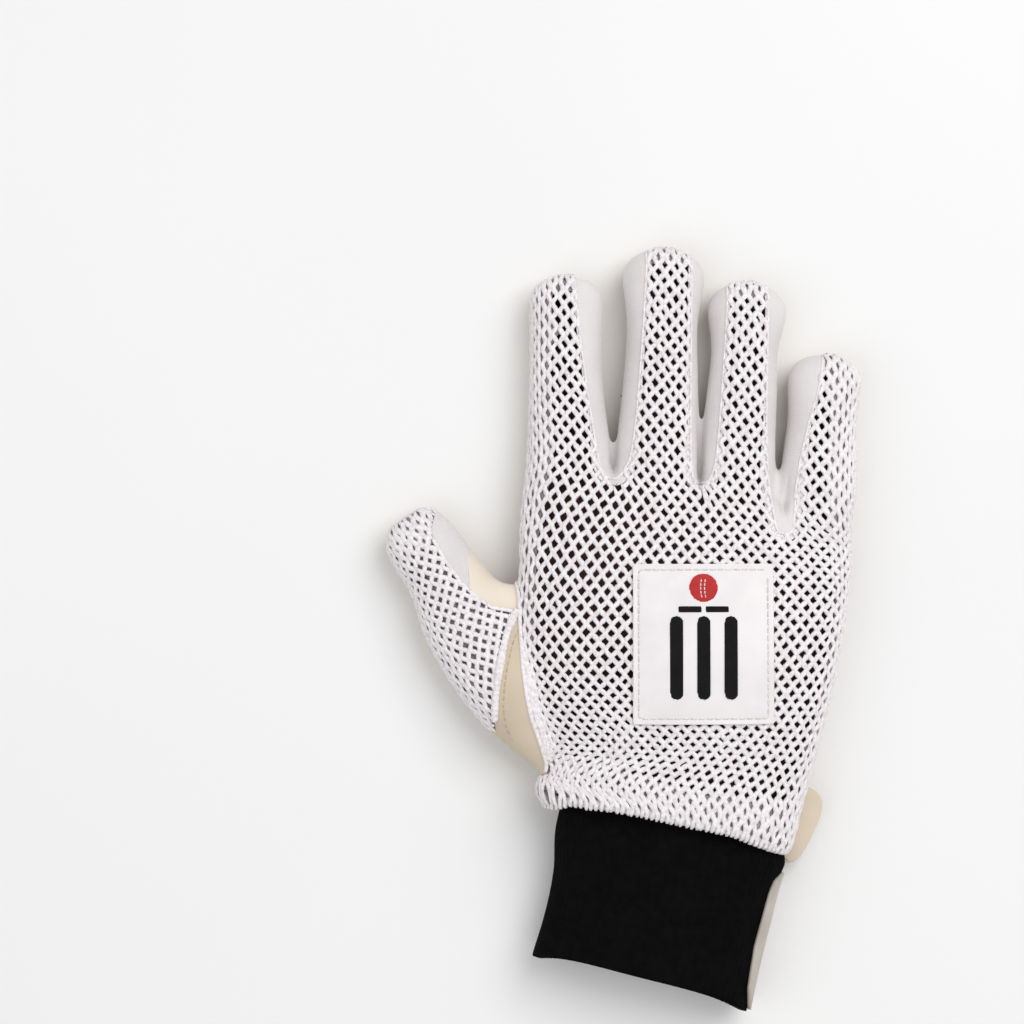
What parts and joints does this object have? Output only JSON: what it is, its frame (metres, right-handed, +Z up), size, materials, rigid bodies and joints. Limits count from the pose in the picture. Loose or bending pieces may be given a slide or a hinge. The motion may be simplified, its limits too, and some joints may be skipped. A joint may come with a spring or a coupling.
{
  "type": "wicketkeeping inner glove",
  "caption": "Wicketkeeper's inner glove for the right hand: cream leather palm and fingertips, white eyelet net back, black knitted wrist cuff.",
  "frame": {"origin": "on the palm's flat rest face, under the middle of the palm", "axes": "+Z up, from the palm out through the back of the hand; +Y towards the fingertips; +X towards the little finger"},
  "size_m": [0.1599, 0.2611, 0.0356],
  "materials": {
    "cream_leather": "matte",
    "white_net": "matte",
    "white_cloth": "matte",
    "white_leatherette": "satin",
    "black_elastic": "matte",
    "cuff_leather": "matte"
  },
  "bodies": {
    "root": {"palm_leather": "cream_leather", "palm_patch": "cream_leather", "thumb_leather": "cream_leather", "mesh_back": "white_net", "thumb_mesh": "white_net", "fourchette_index_middle": "white_cloth", "fourchette_middle_ring": "white_cloth", "fourchette_ring_little": "white_cloth", "badge_panel": "white_leatherette", "wrist_cuff": "black_elastic", "cuff_strip": "cuff_leather"}
  },
  "joints": []
}
